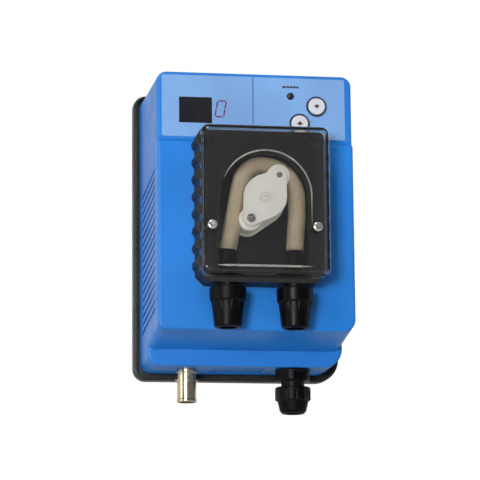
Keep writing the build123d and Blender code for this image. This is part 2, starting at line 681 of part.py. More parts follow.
with BuildPart() as idler_gear:
    idler_bore = AXLE_R + RUNNING_FIT
    extrude(
        gear_sketch(at_depth(IDLER_WHEEL_DEPTH), IDLER_AXIS, WHEEL_TEETH, WHEEL_PHASE, idler_bore),
        amount=IDLER_WHEEL_T,
    )
    pinion_depth = IDLER_WHEEL_DEPTH + IDLER_WHEEL_T
    extrude(
        gear_sketch(at_depth(pinion_depth), IDLER_AXIS, PINION_TEETH, PINION_PHASE, idler_bore),
        amount=IDLER_END - pinion_depth,
    )
finish(idler_gear, "idler_gear")

with BuildPart() as idler_axle:
    extrude(
        discs(at_depth(GEARBOX_BACK + 0.2), [IDLER_AXIS], AXLE_R),
        amount=GEARBOX_SPLIT + 1.8 - GEARBOX_BACK,
    )
finish(idler_axle, "idler_axle")

with BuildPart() as motor_pinion:
    extrude(
        gear_sketch(
            at_depth(IDLER_WHEEL_DEPTH - 1),
            MOTOR_AXIS,
            PINION_TEETH,
            PINION_PHASE,
            MOTOR_SHAFT_R + SMALL_GAP / 2,
        ),
        amount=IDLER_WHEEL_T + 2,
    )
finish(motor_pinion, "motor_pinion")

with BuildPart() as motor_shaft:
    extrude(discs(at_depth(GEARBOX_BACK - 6), [MOTOR_AXIS], MOTOR_SHAFT_R), amount=18.5)
finish(motor_shaft, "motor_shaft")

MOTOR_CAP_T = 9.0
with BuildPart() as motor_can:
    can_back = MOTOR_BACK + MOTOR_CAP_T
    extrude(discs(at_depth(can_back), [MOTOR_AXIS], MOTOR_R), amount=GEARBOX_BACK - can_back)
    fillet(motor_can.faces().sort_by(Axis.Y)[0].edges(), radius=2.0)
    extrude(
        discs(at_depth(GEARBOX_BACK - 7), [MOTOR_AXIS], MOTOR_SHAFT_R + RUNNING_FIT), amount=8, mode=CUT
    )
finish(motor_can, "motor_can")

with BuildPart() as motor_end_cap:
    extrude(discs(at_depth(MOTOR_BACK), [MOTOR_AXIS], MOTOR_R - 0.8), amount=MOTOR_CAP_T)
    chamfer(motor_end_cap.faces().sort_by(Axis.Y)[-1].edges(), length=1.5)
finish(motor_end_cap, "motor_end_cap")

# ---------------------------------------------------------------- pump head
HEAD_SCREWS = [(x, z) for x in (-36.5, 36.5) for z in (-43.0, 46.0)]
COVER_SCREWS = [(-COVER_SCREW_X, COVER_SCREW_Z), (COVER_SCREW_X, COVER_SCREW_Z)]
PORTS = [(-PORT_X, -TUBE_DEPTH), (PORT_X, -TUBE_DEPTH)]


def pocket_outline(plane, grow):
    """U-shaped room for rotor and tube, open arc at the top and a flared left leg."""
    with BuildSketch(plane) as outline:
        with Locations(ROTOR_AXIS):
            Circle(TRACK_R + grow)
        with BuildLine():
            Polyline(
                (ROTOR_X - TRACK_R - grow, ROTOR_Z),
                (POCKET_LEFT - grow, POCKET_LOW - grow),
                (POCKET_RIGHT + grow, POCKET_LOW - grow),
                (ROTOR_X + TRACK_R + grow, ROTOR_Z),
                close=True,
            )
        make_face()
    return outline.sketch


def lip_outline(plane):
    """Thin raised rim that follows the pocket's arc and legs, open at the bottom."""
    with BuildSketch(plane) as outline:
        add(pocket_outline(Plane.XY, LIP_W))
        add(pocket_outline(Plane.XY, 0), mode=CUT)
        with Locations((0, POCKET_LOW)):
            Rectangle(2 * HEAD_HALF_W, 30, mode=CUT)
    return outline.sketch


with BuildPart() as pump_head_body:
    extrude(
        panel(at_depth(HEAD_BACK), -HEAD_HALF_W, HEAD_HALF_W, HEAD_LOW, HEAD_TOP),
        amount=HEAD_FRONT - HEAD_BACK,
    )
    upright = pump_head_body.edges().filter_by(Axis.Y)
    fillet(upright.group_by(Axis.Z)[-1], radius=4.5)
    chamfer(upright.group_by(Axis.Z)[0], length=6.0)
    rib_inset = RIB_R - RIB_OUT
    ribs = [
        (side * (HEAD_HALF_W - rib_inset), RIB_LOW + rib * RIB_PITCH)
        for side in (-1, 1)
        for rib in range(RIB_COUNT)
    ]
    extrude(discs(at_depth(HEAD_BACK), ribs, RIB_R), amount=HEAD_FRONT - HEAD_BACK)
    extrude(
        discs(at_depth(HEAD_FRONT), COVER_SCREWS, COVER_BOSS_R),
        amount=COVER_FRONT - COVER_WALL - HEAD_FRONT,
    )
    extrude(lip_outline(at_depth(HEAD_FRONT)), amount=LIP_H)
    extrude(pocket_outline(at_depth(HEAD_FLOOR), 0), amount=HEAD_FRONT - HEAD_FLOOR + LIP_H, mode=CUT)
    # shaft, hose, cover screw and fixing screw holes
    extrude(discs(at_depth(HEAD_BACK), [ROTOR_AXIS], SHAFT_R + 1.0), amount=10, mode=CUT)
    extrude(discs(at_height(HEAD_LOW), PORTS, 5.2 + SMALL_GAP), amount=POCKET_LOW - HEAD_LOW, mode=CUT)
    extrude(
        discs(at_depth(HEAD_FRONT - 6), COVER_SCREWS, COVER_SCREW_R + SMALL_GAP / 2), amount=20, mode=CUT
    )
    extrude(discs(at_depth(HEAD_BACK), HEAD_SCREWS, 2.0), amount=30, mode=CUT)
    extrude(discs(at_depth(HEAD_FRONT - 3), HEAD_SCREWS, 3.6), amount=10, mode=CUT)
finish(pump_head_body, "pump_head_body")

with BuildPart() as head_screws:
    extrude(discs(at_depth(HEAD_BACK), HEAD_SCREWS, 1.9), amount=HEAD_FRONT - 3 - HEAD_BACK)
    extrude(discs(at_depth(HEAD_FRONT - 3), HEAD_SCREWS, 3.4), amount=2.4)
finish(head_screws, "head_screws")

with BuildPart() as pump_cover:
    extrude(
        panel(at_depth(HEAD_FRONT), COVER_LEFT, COVER_RIGHT, COVER_LOW, COVER_TOP, 5.5),
        amount=COVER_FRONT - HEAD_FRONT,
    )
    fillet(pump_cover.faces().sort_by(Axis.Y)[0].edges(), radius=COVER_EDGE_R)
    extrude(
        panel(
            at_depth(HEAD_FRONT),
            COVER_LEFT + COVER_WALL,
            COVER_RIGHT - COVER_WALL,
            COVER_LOW + COVER_WALL,
            COVER_TOP - COVER_WALL,
            3.0,
        ),
        amount=COVER_FRONT - COVER_WALL - HEAD_FRONT,
        mode=CUT,
    )
    extrude(discs(at_depth(HEAD_FRONT), COVER_SCREWS, COVER_SCREW_R + SMALL_GAP), amount=20, mode=CUT)
finish(pump_cover, "pump_cover")

with BuildPart() as cover_screws:
    extrude(
        discs(at_depth(HEAD_FRONT - 5), COVER_SCREWS, COVER_SCREW_R),
        amount=COVER_FRONT - HEAD_FRONT + 5,
    )
    for place in COVER_SCREWS:
        extrude(discs(at_depth(COVER_FRONT), [place], COVER_SCREW_HEAD_R), amount=2.3)
    heads = cover_screws.faces().filter_by(Axis.Y).group_by(Axis.Y)[0]
    fillet(heads.edges(), radius=1.2)
    for place_x, place_z in COVER_SCREWS:
        for long, wide in ((1.9, 0.45), (0.45, 1.9)):
            slot = panel(
                at_depth(COVER_FRONT + 1.2), place_x - long, place_x + long, place_z - wide, place_z + wide
            )
            extrude(slot, amount=2, mode=CUT)
finish(cover_screws, "cover_screws")

# ---------------------------------------------------------------- rotor
ARM = (math.cos(math.radians(ROTOR_ANGLE)), math.sin(math.radians(ROTOR_ANGLE)))
ROLLER_PLACES = [
    (ROTOR_X + side * ROLLER_ORBIT * ARM[0], ROTOR_Z + side * ROLLER_ORBIT * ARM[1]) for side in (1, -1)
]


def rotor_outline(plane, disc_r, lobe_r):
    """Round plate with two opposite lobes that carry the roller pins."""
    with BuildSketch(plane) as outline:
        with Locations(ROTOR_AXIS):
            Circle(disc_r)
        with Locations(*ROLLER_PLACES):
            Circle(lobe_r)
        make_hull()
    return outline.sketch


with BuildPart() as rotor_rear_plate:
    extrude(rotor_outline(at_depth(REAR_PLATE_DEPTH), REAR_DISC_R, REAR_LOBE_R), amount=REAR_PLATE_T)
    hub_back = REAR_PLATE_DEPTH + REAR_PLATE_T
    extrude(discs(at_depth(hub_back), [ROTOR_AXIS], HUB_R), amount=FRONT_PLATE_DEPTH - hub_back)
    extrude(discs(at_depth(HEAD_BACK), [ROTOR_AXIS], SHAFT_R + SMALL_GAP / 2), amount=40, mode=CUT)
    extrude(discs(at_depth(HEAD_BACK), ROLLER_PLACES, PIN_R + PIN_FIT), amount=40, mode=CUT)
finish(rotor_rear_plate, "rotor_rear_plate")

with BuildPart() as rotor_front_plate:
    extrude(rotor_outline(at_depth(FRONT_PLATE_DEPTH), DISC_R, LOBE_R), amount=FRONT_PLATE_T)
    fillet(rotor_front_plate.faces().sort_by(Axis.Y)[0].edges(), radius=0.6)
    collar_depth = FRONT_PLATE_DEPTH + FRONT_PLATE_T
    extrude(discs(at_depth(collar_depth), [ROTOR_AXIS], 3.9), amount=0.9)
    extrude(discs(at_depth(collar_depth - 0.8), [ROTOR_AXIS], 2.9), amount=3, mode=CUT)
    extrude(discs(at_depth(FRONT_PLATE_DEPTH), [ROTOR_AXIS], 1.7), amount=5, mode=CUT)
    extrude(discs(at_depth(FRONT_PLATE_DEPTH), ROLLER_PLACES, PIN_R + PIN_FIT), amount=5, mode=CUT)
finish(rotor_front_plate, "rotor_front_plate")

with BuildPart() as rotor_screw:
    screw_seat = FRONT_PLATE_DEPTH + FRONT_PLATE_T - 0.8
    extrude(discs(at_depth(SHAFT_FRONT - 8), [ROTOR_AXIS], 1.5), amount=screw_seat - SHAFT_FRONT + 8)
    extrude(discs(at_depth(screw_seat), [ROTOR_AXIS], 2.7), amount=1.5)
    extrude(
        panel(at_depth(screw_seat + 0.8), ROTOR_X - 1.6, ROTOR_X + 1.6, ROTOR_Z - 0.35, ROTOR_Z + 0.35),
        amount=2,
        mode=CUT,
    )
finish(rotor_screw, "rotor_screw")

with BuildPart() as roller_pins:
    pin_back, pin_front = REAR_PLATE_DEPTH + 0.2, FRONT_PLATE_DEPTH + FRONT_PLATE_T
    extrude(discs(at_depth(pin_back), ROLLER_PLACES[:1], PIN_R), amount=pin_front - 1.2 - pin_back)
    extrude(discs(at_depth(pin_back), ROLLER_PLACES[1:], PIN_R), amount=pin_front - pin_back)
    extrude(discs(at_depth(pin_front), ROLLER_PLACES[1:], 2.9), amount=1.3)
    lower_x, lower_z = ROLLER_PLACES[1]
    extrude(
        panel(at_depth(pin_front + 0.6), lower_x - 1.7, lower_x + 1.7, lower_z - 0.35, lower_z + 0.35),
        amount=2,
        mode=CUT,
    )
finish(roller_pins, "roller_pins")

ROLLER_BACK = REAR_PLATE_DEPTH + REAR_PLATE_T + ROLLER_END_GAP
ROLLER_LONG = FRONT_PLATE_DEPTH - ROLLER_END_GAP - ROLLER_BACK
for roller_name, place in zip(("roller_a", "roller_b"), ROLLER_PLACES):
    with BuildPart() as roller:
        extrude(discs(at_depth(ROLLER_BACK), [place], ROLLER_R), amount=ROLLER_LONG)
        rims = roller.edges().filter_by(GeomType.CIRCLE)
        fillet(rims, radius=0.8)
        extrude(discs(at_depth(ROLLER_BACK), [place], PIN_R + PIN_FIT), amount=ROLLER_LONG, mode=CUT)
    finish(roller, roller_name)

# ---------------------------------------------------------------- pump tube
TUBE_RADIUS = TRACK_R - TUBE_R - 0.8
tube_right, tube_top = ROTOR_X + TUBE_RADIUS, ROTOR_Z + TUBE_RADIUS
TUBE_ROUTE = [
    (-PORT_X, TUBE_END_Z),
    (LEFT_LEG_LEAN_X, tube_top),
    (tube_right, tube_top),
    (tube_right, -4.0),
    (PORT_X, TUBE_END_Z),
]
TUBE_BENDS = [15.2, TUBE_RADIUS - 0.2, 60.0]
with BuildPart() as pump_tube:
    with BuildLine(at_depth(TUBE_DEPTH)) as tube_path:
        FilletPolyline(*TUBE_ROUTE, radius=TUBE_BENDS)
    first_run = Vector(TUBE_ROUTE[1][0] - TUBE_ROUTE[0][0], 0, TUBE_ROUTE[1][1] - TUBE_ROUTE[0][1])
    start = Vector(TUBE_ROUTE[0][0], -TUBE_DEPTH, TUBE_ROUTE[0][1])
    with BuildSketch(Plane(origin=start, z_dir=first_run)):
        Circle(TUBE_R)
    sweep(path=tube_path.line)
    # flat ends over the two connectors, and the dents that the rollers press
    ends = discs(at_height(TUBE_END_Z), PORTS, TUBE_BORE_R)
    extrude(ends, amount=TUBE_BORE_LONG, mode=CUT)
    extrude(
        discs(at_depth(REAR_PLATE_DEPTH), ROLLER_PLACES, ROLLER_R + 0.25), amount=20, mode=CUT
    )
    extrude(discs(at_height(TUBE_END_Z - 5), PORTS, 9), amount=5, mode=CUT)
finish(pump_tube, "pump_tube")

# ---------------------------------------------------------------- hose fittings
HOSE_SEAT = NUT_LOW + HOSE_BORE_LONG
for side, word in ((-1, "left"), (1, "right")):
    port = side * PORT_X
    with BuildPart() as connector:
        add(
            turned(
                port,
                TUBE_DEPTH,
                [
                    (2.4, STUB_LOW),
                    (STUB_R - 0.6, STUB_LOW),
                    (STUB_R, STUB_LOW + 0.8),
                    (STUB_R, NUT_TOP + 0.4),
                    (6.2, NUT_TOP + 0.4),
                    (6.2, HEAD_LOW),
                    (5.2, HEAD_LOW),
                    (5.2, TUBE_END_Z),
                    (3.7, TUBE_END_Z),
                    (3.7, TUBE_END_Z + 4),
                    (3.9, TUBE_END_Z + 4),
                    (3.2, TUBE_END_Z + 8.5),
                    (2.4, TUBE_END_Z + 8.5),
                ],
            )
        )
    finish(connector, f"hose_connector_{word}")

    with BuildPart() as clamp_ring:
        add(turned(port, TUBE_DEPTH, [(4.0, HOSE_SEAT), (7.2, HOSE_SEAT), (7.2, STUB_LOW), (4.0, STUB_LOW)]))
    finish(clamp_ring, f"clamp_ring_{word}")

    with BuildPart() as nut:
        add(
            turned(
                port,
                TUBE_DEPTH,
                [
                    (STUB_R + 0.15, NUT_TOP),
                    (NUT_TOP_R - 0.8, NUT_TOP),
                    (NUT_TOP_R, NUT_TOP - 0.8),
                    (NUT_TOP_R - 0.3, NUT_TOP - NUT_COLLAR),
                    (NUT_TOP_R - 1.3, NUT_TOP - NUT_COLLAR - 1.2),
                    (NUT_LOW_R, NUT_LOW + 1.0),
                    (NUT_LOW_R - 0.9, NUT_LOW),
                    (HOSE_BORE_R, NUT_LOW),
                    (HOSE_BORE_R, HOSE_SEAT),
                    (STUB_R + 0.15, HOSE_SEAT),
                ],
            )
        )
        # grip flutes all round the taper
        with BuildSketch(at_height(NUT_LOW + 2.5)):
            with Locations((port, -TUBE_DEPTH)):
                with PolarLocations(NUT_LOW_R + 3.2, 12):
                    Circle(2.0)
        extrude(amount=NUT_TOP - NUT_COLLAR - 1.0 - NUT_LOW - 2.5, mode=CUT)
    finish(nut, f"hose_nut_{word}")

# ---------------------------------------------------------------- signal socket
BNC_SEAT, BNC_LOW, BNC_MOUTH_R, BNC_SOCKET = CASE_BOTTOM - 2.6, CASE_BOTTOM - 23.0, 5.3, 17.5
with BuildPart() as bnc_body:
    add(
        turned(
            BNC_X,
            BNC_DEPTH,
            [
                (3.0, CASE_BOTTOM + 10.5),
                (BNC_THREAD_R, CASE_BOTTOM + 10.5),
                (BNC_THREAD_R, CASE_BOTTOM),
                (BNC_R + 0.5, CASE_BOTTOM),
                (BNC_R + 0.5, BNC_SEAT + 0.4),
                (BNC_R, BNC_SEAT),
                (BNC_R, BNC_LOW + 2.2),
                (BNC_R + 0.35, BNC_LOW + 1.6),
                (BNC_R + 0.35, BNC_LOW + 0.4),
                (BNC_R - 0.2, BNC_LOW),
                (BNC_MOUTH_R, BNC_LOW),
                (BNC_MOUTH_R, BNC_LOW + BNC_SOCKET),
                (3.0, BNC_LOW + BNC_SOCKET),
            ],
        )
    )
    with BuildSketch(Plane.YZ.offset(BNC_X)):
        with Locations((-BNC_DEPTH, BNC_SEAT - 5.0)):
            Circle(1.1)
    extrude(amount=BNC_R + 1.2, both=True)
    with BuildSketch(at_height(BNC_LOW)):
        with Locations((BNC_X, -BNC_DEPTH)):
            Circle(BNC_MOUTH_R)
    extrude(amount=BNC_SOCKET, mode=CUT)
finish(bnc_body, "bnc_body")

with BuildPart() as bnc_insulator:
    add(
        turned(
            BNC_X,
            BNC_DEPTH,
            [
                (0.9, CASE_BOTTOM + 10.5),
                (2.95, CASE_BOTTOM + 10.5),
                (2.95, BNC_LOW + BNC_SOCKET),
                (3.4, BNC_LOW + BNC_SOCKET),
                (3.4, BNC_LOW + 4.0),
                (0.9, BNC_LOW + 4.0),
            ],
        )
    )
finish(bnc_insulator, "bnc_insulator")

with BuildPart() as bnc_contact:
    add(
        turned(
            BNC_X,
            BNC_DEPTH,
            [
                (0.0, CASE_BOTTOM + 14.0),
                (0.85, CASE_BOTTOM + 14.0),
                (0.85, BNC_LOW + 4.6),
                (0.0, BNC_LOW + 4.6),
            ],
        )
    )
finish(bnc_contact, "bnc_contact")

NUT_BASE = CASE_BOTTOM + CASE_WALL + 0.5     # clear of the bottom wall's draft
with BuildPart() as bnc_nut:
    with BuildSketch(at_height(NUT_BASE)):
        with Locations((BNC_X, -BNC_DEPTH)):
            RegularPolygon(8.0, 6)
            Circle(BNC_THREAD_R + SMALL_GAP, mode=CUT)
    extrude(amount=2.5)
finish(bnc_nut, "bnc_nut")

# ---------------------------------------------------------------- cable gland
GLAND_NECK, GLAND_DOME, GLAND_TAPER, GLAND_LOW = (CASE_BOTTOM - drop for drop in (8.2, 12.4, 22.2, 30.8))
with BuildPart() as gland_body:
    add(
        turned(
            GLAND_X,
            GLAND_DEPTH,
            [
                (5.5, CASE_BOTTOM + 9.0),
                (GLAND_THREAD_R, CASE_BOTTOM + 9.0),
                (GLAND_THREAD_R, CASE_BOTTOM),
                (GLAND_R - 0.6, CASE_BOTTOM),
                (GLAND_R, CASE_BOTTOM - 0.6),
                (GLAND_R, GLAND_NECK + 0.8),
                (GLAND_R - 0.8, GLAND_NECK),
                (8.2, GLAND_NECK),
                (8.2, GLAND_TAPER + 2.0),
                (6.9, GLAND_TAPER + 2.0),
                (6.9, GLAND_DOME + 2.0),
                (5.5, GLAND_DOME + 2.0),
            ],
        )
    )
    # spanner flats on the flange
    with BuildSketch(at_height(CASE_BOTTOM - 1.2)):
        with Locations((GLAND_X, -GLAND_DEPTH)):
            Circle(GLAND_R + 2)
            RegularPolygon(GLAND_R + 0.9, 6, rotation=15, mode=CUT)
    extrude(amount=GLAND_NECK - CASE_BOTTOM, mode=CUT)
finish(gland_body, "gland_body")

with BuildPart() as gland_seal:
    add(
        turned(
            GLAND_X,
            GLAND_DEPTH,
            [
                (CABLE_R, GLAND_DOME + 1.9),
                (6.8, GLAND_DOME + 1.9),
                (6.8, GLAND_TAPER + 1.9),
                (7.4, GLAND_TAPER + 1.7),
                (6.2, GLAND_TAPER - 0.8),
                (CABLE_R, GLAND_TAPER - 0.8),
            ],
        )
    )
finish(gland_seal, "gland_seal")

with BuildPart() as gland_dome_nut:
    add(
        turned(
            GLAND_X,
            GLAND_DEPTH,
            [
                (8.35, GLAND_DOME),
                (GLAND_R - 0.5, GLAND_DOME),
                (GLAND_R, GLAND_DOME - 0.8),
                (GLAND_R, GLAND_TAPER + 1.0),
                (GLAND_R - 1.6, GLAND_TAPER),
                (9.4, GLAND_LOW + 2.0),
                (7.8, GLAND_LOW),
                (6.0, GLAND_LOW),
                (6.0, GLAND_TAPER - 3.0),
                (8.35, GLAND_TAPER + 1.0),
            ],
        )
    )
    with BuildSketch(at_height(GLAND_LOW + 1.0)):
        with Locations((GLAND_X, -GLAND_DEPTH)):
            with PolarLocations(GLAND_R + 0.6, 12):
                Circle(1.5)
    extrude(amount=GLAND_DOME - GLAND_LOW - 3.0, mode=CUT)
finish(gland_dome_nut, "gland_dome_nut")

with BuildPart() as gland_locknut:
    with BuildSketch(at_height(NUT_BASE)):
        with Locations((GLAND_X, -GLAND_DEPTH)):
            RegularPolygon(11.5, 6)
            Circle(GLAND_THREAD_R + SMALL_GAP, mode=CUT)
    extrude(amount=4.0)
finish(gland_locknut, "gland_locknut")
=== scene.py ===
import json
import math

import bmesh
import bpy
from mathutils import Matrix, Vector


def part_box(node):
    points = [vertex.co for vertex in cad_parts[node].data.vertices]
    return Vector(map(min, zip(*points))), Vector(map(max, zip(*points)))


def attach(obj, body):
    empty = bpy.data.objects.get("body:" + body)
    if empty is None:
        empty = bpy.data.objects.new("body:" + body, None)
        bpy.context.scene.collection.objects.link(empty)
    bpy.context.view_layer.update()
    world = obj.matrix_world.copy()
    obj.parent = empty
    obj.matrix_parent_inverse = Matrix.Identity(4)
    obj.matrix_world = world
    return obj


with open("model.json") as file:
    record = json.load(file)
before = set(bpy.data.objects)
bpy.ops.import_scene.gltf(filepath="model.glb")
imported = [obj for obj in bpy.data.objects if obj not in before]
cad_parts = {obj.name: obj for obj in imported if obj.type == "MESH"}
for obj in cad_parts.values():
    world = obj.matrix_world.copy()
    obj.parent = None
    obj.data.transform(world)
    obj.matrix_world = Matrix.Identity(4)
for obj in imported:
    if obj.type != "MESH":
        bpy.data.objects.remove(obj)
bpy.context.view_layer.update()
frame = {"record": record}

MM = 0.001
RANGE_SOCKETS = ("From Min", "From Max", "To Min", "To Max")


# ---------------------------------------------------------------- node helpers
def srgb(red, green, blue):
    """Linear colour from 0-255 screen values."""
    def linear(value):
        value /= 255
        return value / 12.92 if value <= 0.04045 else ((value + 0.055) / 1.055) ** 2.4
    return (linear(red), linear(green), linear(blue), 1.0)


class Shader:
    """A small builder round one node tree with a Principled shader."""

    def __init__(self, name):
        self.material = bpy.data.materials.new(name)
        self.material.use_nodes = True
        self.tree = self.material.node_tree
        self.tree.nodes.clear()
        self.output = self.node("ShaderNodeOutputMaterial")
        self.surface = self.node("ShaderNodeBsdfPrincipled")
        self.link(self.surface.outputs["BSDF"], self.output.inputs["Surface"])
        self.place = self.node("ShaderNodeTexCoord").outputs["Object"]

    def node(self, kind, **settings):
        node = self.tree.nodes.new(kind)
        for key, value in settings.items():
            setattr(node, key, value)
        return node

    def link(self, source, target):
        self.tree.links.new(source, target)

    def set(self, **values):
        for key, value in values.items():
            self.surface.inputs[key.replace("_", " ")].default_value = value

    def noise(self, scale, detail=4.0, roughness=0.55, stretch=(1, 1, 1)):
        """Noise in object space; a stretch under 1 draws the pattern out along that axis."""
        mapping = self.node("ShaderNodeMapping")
        mapping.inputs["Scale"].default_value = stretch
        self.link(self.place, mapping.inputs["Vector"])
        noise = self.node("ShaderNodeTexNoise")
        noise.inputs["Scale"].default_value = scale
        noise.inputs["Detail"].default_value = detail
        noise.inputs["Roughness"].default_value = roughness
        self.link(mapping.outputs["Vector"], noise.inputs["Vector"])
        return noise.outputs["Fac"]

    def remap(self, value, low, high, out_low, out_high):
        node = self.node("ShaderNodeMapRange")
        for key, number in zip(RANGE_SOCKETS, (low, high, out_low, out_high)):
            node.inputs[key].default_value = number
        self.link(value, node.inputs["Value"])
        return node.outputs["Result"]

    def math(self, operation, first, second):
        node = self.node("ShaderNodeMath", operation=operation)
        for socket, value in zip(node.inputs, (first, second)):
            if isinstance(value, (int, float)):
                socket.default_value = value
            else:
                self.link(value, socket)
        return node.outputs["Value"]

    def mix(self, factor, first, second, blend="MIX"):
        node = self.node("ShaderNodeMix", data_type="RGBA", blend_type=blend)
        factor_socket, first_socket, second_socket = node.inputs[0], node.inputs[6], node.inputs[7]
        for socket, value in ((factor_socket, factor), (first_socket, first), (second_socket, second)):
            if isinstance(value, (int, float, tuple)):
                socket.default_value = value
            else:
                self.link(value, socket)
        return node.outputs[2]

    def edges(self, radius):
        """0 on flat ground, rising to 1 on edges within this radius; also the rounded normal."""
        bevel = self.node("ShaderNodeBevel", samples=4)
        bevel.inputs["Radius"].default_value = radius
        geometry = self.node("ShaderNodeNewGeometry")
        dot = self.node("ShaderNodeVectorMath", operation="DOT_PRODUCT")
        self.link(bevel.outputs["Normal"], dot.inputs[0])
        self.link(geometry.outputs["Normal"], dot.inputs[1])
        worn = self.remap(dot.outputs["Value"], 1.0, 0.85, 0.0, 1.0)
        return worn, bevel.outputs["Normal"]

    def crevices(self, distance):
        """1 in the open, falling towards 0 in corners and grooves."""
        occlusion = self.node("ShaderNodeAmbientOcclusion", samples=4)
        occlusion.inputs["Distance"].default_value = distance
        return occlusion.outputs["AO"]

    def bump(self, heights, normal=None):
        """Chain of bumps from (height, strength, distance) rows."""
        for height, strength, distance in heights:
            bump = self.node("ShaderNodeBump")
            bump.inputs["Strength"].default_value = strength
            bump.inputs["Distance"].default_value = distance
            self.link(height, bump.inputs["Height"])
            if normal is not None:
                self.link(normal, bump.inputs["Normal"])
            normal = bump.outputs["Normal"]
        self.link(normal, self.surface.inputs["Normal"])

    def colour(self, value):
        self.link(value, self.surface.inputs["Base Color"])

    def roughness(self, value):
        self.link(value, self.surface.inputs["Roughness"])


def shade(colour, factor):
    return tuple(min(1.0, channel * factor) for channel in colour[:3]) + (1.0,)


# ---------------------------------------------------------------- materials
PALE_GREY, PALE_SHARE = 0.6, 0.45
DUST = srgb(150, 145, 135)


def moulded_plastic(name, colour, rough=0.42, grain=0.25, dust=0.12, wear=0.25, edge=0.0005,
                    grain_scale=2600, gloss=0.5):
    """Moulded plastic: spark-eroded grain, faint flow blotches, dust in corners, paler edges."""
    shader = Shader(name)
    blotch = shader.remap(shader.noise(14, detail=3), 0.35, 0.65, 0, 1)
    patches = shader.mix(blotch, shade(colour, 0.9), shade(colour, 1.08))
    worn, rounded = shader.edges(edge)
    rubbed = shader.remap(shader.noise(160, detail=6), 0.4, 0.7, 0.1, wear)
    scuff = shader.math("MULTIPLY", worn, rubbed)
    pale = tuple(PALE_SHARE * PALE_GREY + (1 - PALE_SHARE) * channel for channel in colour[:3]) + (1.0,)
    with_wear = shader.mix(scuff, patches, pale)
    open_ground = shader.crevices(0.006)
    dusty = shader.math("MULTIPLY", shader.remap(open_ground, 0.35, 0.9, 1, 0), dust)
    with_dust = shader.mix(dusty, with_wear, DUST)
    shader.colour(with_dust)
    shader.set(Specular_IOR_Level=gloss)
    smudge = shader.noise(45, detail=5, roughness=0.6)
    shader.roughness(shader.remap(smudge, 0.3, 0.7, rough - 0.06, rough + 0.1))
    fine = shader.noise(grain_scale, detail=2)
    shader.bump([(fine, grain, 0.00006)], normal=rounded)
    return shader


def plain_metal(name, colour, rough=0.25, lines=0.15, stretch=(1, 1, 1), scale=900, edge=0.0003):
    """Plated or turned metal with fine tool lines, finger-dulled patches and bright edges."""
    shader = Shader(name)
    tarnish = shader.noise(120, detail=5)
    worn, rounded = shader.edges(edge)
    base = shader.mix(shader.remap(tarnish, 0.4, 0.75, 0, 0.5), colour, shade(colour, 0.72))
    shader.colour(shader.mix(shader.math("MULTIPLY", worn, 0.5), base, shade(colour, 1.25)))
    dulled = shader.noise(260, detail=4)
    shader.roughness(shader.remap(dulled, 0.3, 0.7, rough - 0.07, rough + 0.12))
    shader.set(Metallic=1.0)
    tool = shader.noise(scale, detail=2, stretch=stretch)
    shader.bump([(tool, lines, 0.00004)], normal=rounded)
    return shader


def clear_plastic(name, tint, rough=0.03):
    """Clear moulded polycarbonate with hairline scratches and a few dull finger marks."""
    shader = Shader(name)
    shader.set(Transmission_Weight=1.0, IOR=1.49)
    shader.surface.inputs["Base Color"].default_value = tint
    hairlines = shader.noise(420, detail=5, stretch=(0.08, 1, 1))
    marks = shader.noise(38, detail=5)
    finger_marks = shader.remap(marks, 0.55, 0.75, 0, 0.05)
    dull = shader.math("ADD", finger_marks, shader.remap(hairlines, 0.62, 0.75, 0, 0.08))
    shader.roughness(shader.math("ADD", dull, rough))
    shader.bump([(hairlines, 0.03, 0.00002)])
    return shader


def clear_bead(name, colour):
    """Rib on clear plastic, coloured milky white as a painted highlight line, glossy on its crown."""
    shader = Shader(name)
    cloud = shader.remap(shader.noise(160, detail=4), 0.35, 0.65, 0, 1)
    shader.colour(shader.mix(cloud, shade(colour, 0.72), colour))
    shader.set(Transmission_Weight=0.35, IOR=1.49)
    shader.roughness(shader.remap(shader.noise(500, detail=3), 0.3, 0.7, 0.12, 0.3))
    shader.bump([(shader.noise(1200, detail=3), 0.2, 0.00004)])
    return shader


def soft_tube(name, colour):
    """Extruded elastomer: slightly cloudy, with streaks drawn along its length."""
    shader = Shader(name)
    cloud = shader.remap(shader.noise(70, detail=4), 0.35, 0.65, 0, 1)
    streak = shader.noise(900, detail=3, stretch=(1, 1, 0.06))
    base = shader.mix(cloud, shade(colour, 0.86), shade(colour, 1.1))
    base = shader.mix(shader.remap(streak, 0.35, 0.7, 0, 0.35), base, shade(colour, 0.7))
    shader.colour(base)
    shader.set(Subsurface_Weight=0.25, Subsurface_Scale=0.003, Sheen_Weight=0.15)
    shader.surface.inputs["Subsurface Radius"].default_value = (1.0, 0.6, 0.35)
    shader.roughness(shader.remap(streak, 0.3, 0.7, 0.36, 0.5))
    shader.bump([(streak, 0.12, 0.00006), (shader.noise(2400, detail=2), 0.12, 0.00004)])
    return shader


def cream_plastic(name, colour):
    """Cream acetal: slightly translucent, waxy, with machining swirls; painted shade darkens its
    crevices towards brown.
    """
    shader = Shader(name)
    cloud = shader.remap(shader.noise(55, detail=4), 0.35, 0.65, 0, 1)
    worn, rounded = shader.edges(0.0004)
    base = shader.mix(cloud, shade(colour, 0.95), shade(colour, 1.04))
    # painted shade: the occlusion mask mixes the cream towards dark brown in crevices and corners
    crevice_shade = shader.remap(shader.crevices(0.002), 0.3, 0.8, 0.4, 0)
    shader.colour(shader.mix(crevice_shade, base, srgb(120, 105, 80)))
    shader.set(Subsurface_Weight=0.08, Subsurface_Scale=0.002)
    shader.surface.inputs["Subsurface Radius"].default_value = (1.0, 0.8, 0.6)
    shader.roughness(shader.remap(shader.noise(200, detail=4), 0.3, 0.7, 0.32, 0.48))
    shader.bump([(shader.noise(1500, detail=3), 0.15, 0.00005)], normal=rounded)
    return shader


